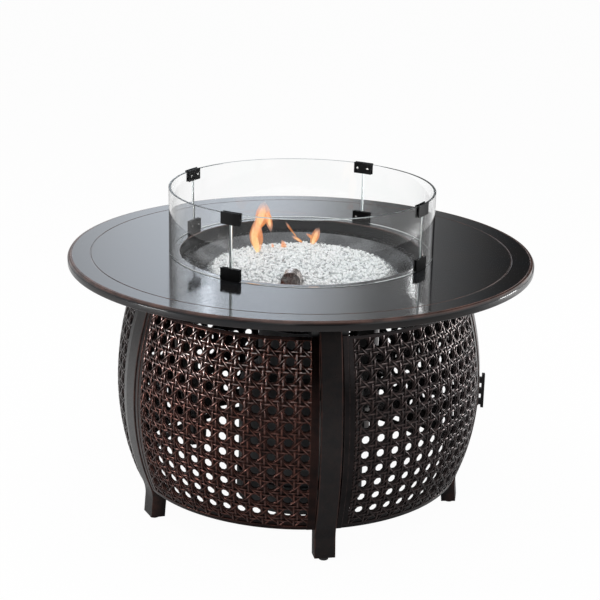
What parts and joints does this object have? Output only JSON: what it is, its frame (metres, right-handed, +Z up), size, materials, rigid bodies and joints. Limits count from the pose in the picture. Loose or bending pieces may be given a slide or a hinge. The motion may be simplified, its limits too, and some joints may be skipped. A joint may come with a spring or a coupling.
{
  "type": "fire pit table",
  "caption": "Round gas fire pit table on a barrel-shaped cane-pattern metal base with a hinged door, a bed of glass beads and a clear wind guard.",
  "frame": {"origin": "on the floor under the middle of the round top", "axes": "+Z up; -Y towards the front post, which the picture shows a little right of the middle; the door is on the +X side"},
  "size_m": [1.118, 1.118, 0.7876],
  "materials": {
    "bead_glass": "clear fire glass beads",
    "black_plastic": "moulded black",
    "bowl_metal": "dark satin heat paint",
    "brass": "machined",
    "bronze_metal": "aluminium casting under near-black bronze paint, rubbed to copper on the raised edges",
    "button_plastic": "moulded red",
    "clip_black": "black satin paint",
    "dark_steel": "black paint on sheet steel",
    "glide_plastic": "moulded black",
    "guard_glass": "clear tempered glass",
    "handle_metal": "aluminium casting under near-black bronze paint",
    "hood_stainless": "stainless sheet tinted by heat",
    "hose_rubber": "smooth black",
    "pipe_aluminium": "drawn tube",
    "regulator_metal": "grey die casting",
    "screw_steel": "zinc plated",
    "stainless": "stainless steel tube",
    "tabletop_metal": "aluminium casting under smooth dark bronze gloss paint",
    "tank_paint": "dark grey powder paint",
    "white_ceramic": "glazed white"
  },
  "bodies": {
    "base": {"bead_bed": "bead_glass", "bottom_hoop": "bronze_metal", "bracket_screws": "screw_steel", "burner_ring": "stainless", "cane_panel_1": "bronze_metal", "cane_panel_2": "bronze_metal", "cane_panel_3": "bronze_metal", "cane_panel_4": "bronze_metal", "control_plate": "dark_steel", "coupling_nut": "black_plastic", "door_magnet": "black_plastic", "feed_pipe": "pipe_aluminium", "fire_bowl": "bowl_metal", "foot_glide_1": "glide_plastic", "foot_glide_2": "glide_plastic", "foot_glide_3": "glide_plastic", "foot_glide_4": "glide_plastic", "foot_glide_5": "glide_plastic", "gas_hose": "hose_rubber", "gas_valve": "brass", "hinge_pins": "screw_steel", "panel_brackets": "dark_steel", "pilot_hood": "hood_stainless", "post_1": "bronze_metal", "post_2": "bronze_metal", "post_3": "bronze_metal", "post_4": "bronze_metal", "post_5": "bronze_metal", "post_bolts": "screw_steel", "post_hinge_leaves": "bronze_metal", "regulator": "regulator_metal", "spark_electrode": "white_ceramic", "spark_igniter": "black_plastic", "table_bolts": "screw_steel", "tabletop": "tabletop_metal", "tank_collar": "tank_paint", "tank_foot_ring": "tank_paint", "tank_seat": "dark_steel", "tank_shell": "tank_paint", "tank_valve": "brass", "top_ring": "bronze_metal"},
    "wind_guard": {"glass_pane_1": "guard_glass", "glass_pane_2": "guard_glass", "glass_pane_3": "guard_glass", "glass_pane_4": "guard_glass", "guard_clips_lower": "clip_black", "guard_clips_upper": "clip_black", "clip_screws": "screw_steel"},
    "door": {"door_panel": "bronze_metal", "door_handle": "handle_metal", "handle_plate": "handle_metal", "door_strike": "screw_steel", "door_hinge_leaves": "bronze_metal"},
    "knob": {"control_knob": "black_plastic"},
    "button": {"igniter_button": "button_plastic"},
    "handwheel": {"tank_handwheel": "black_plastic"}
  },
  "joints": [
    {"name": "guard_lift", "type": "slide", "parent": "base", "child": "wind_guard", "axis": [0, 0, 1], "range_m": [0, 0.2]},
    {"name": "door_hinge", "type": "hinge", "parent": "base", "child": "door", "pos_m": [0.28752, 0.3498, 0.305], "axis": [0, 0, 1], "range_deg": [0, 110]},
    {"name": "knob_turn", "type": "hinge", "parent": "base", "child": "knob", "pos_m": [0.33263, 0.07653, 0.545], "axis": [0.9511, 0.309, 0], "range_deg": [0, 180]},
    {"name": "igniter_push", "type": "slide", "parent": "base", "child": "button", "axis": [-0.9511, -0.309, 0], "range_m": [0, 0.004], "stiffness_N_per_m": 900},
    {"name": "handwheel_turn", "type": "hinge", "parent": "base", "child": "handwheel", "pos_m": [0.008, 0, 0.42], "axis": [0, 0, 1], "range_deg": [0, 540]}
  ]
}
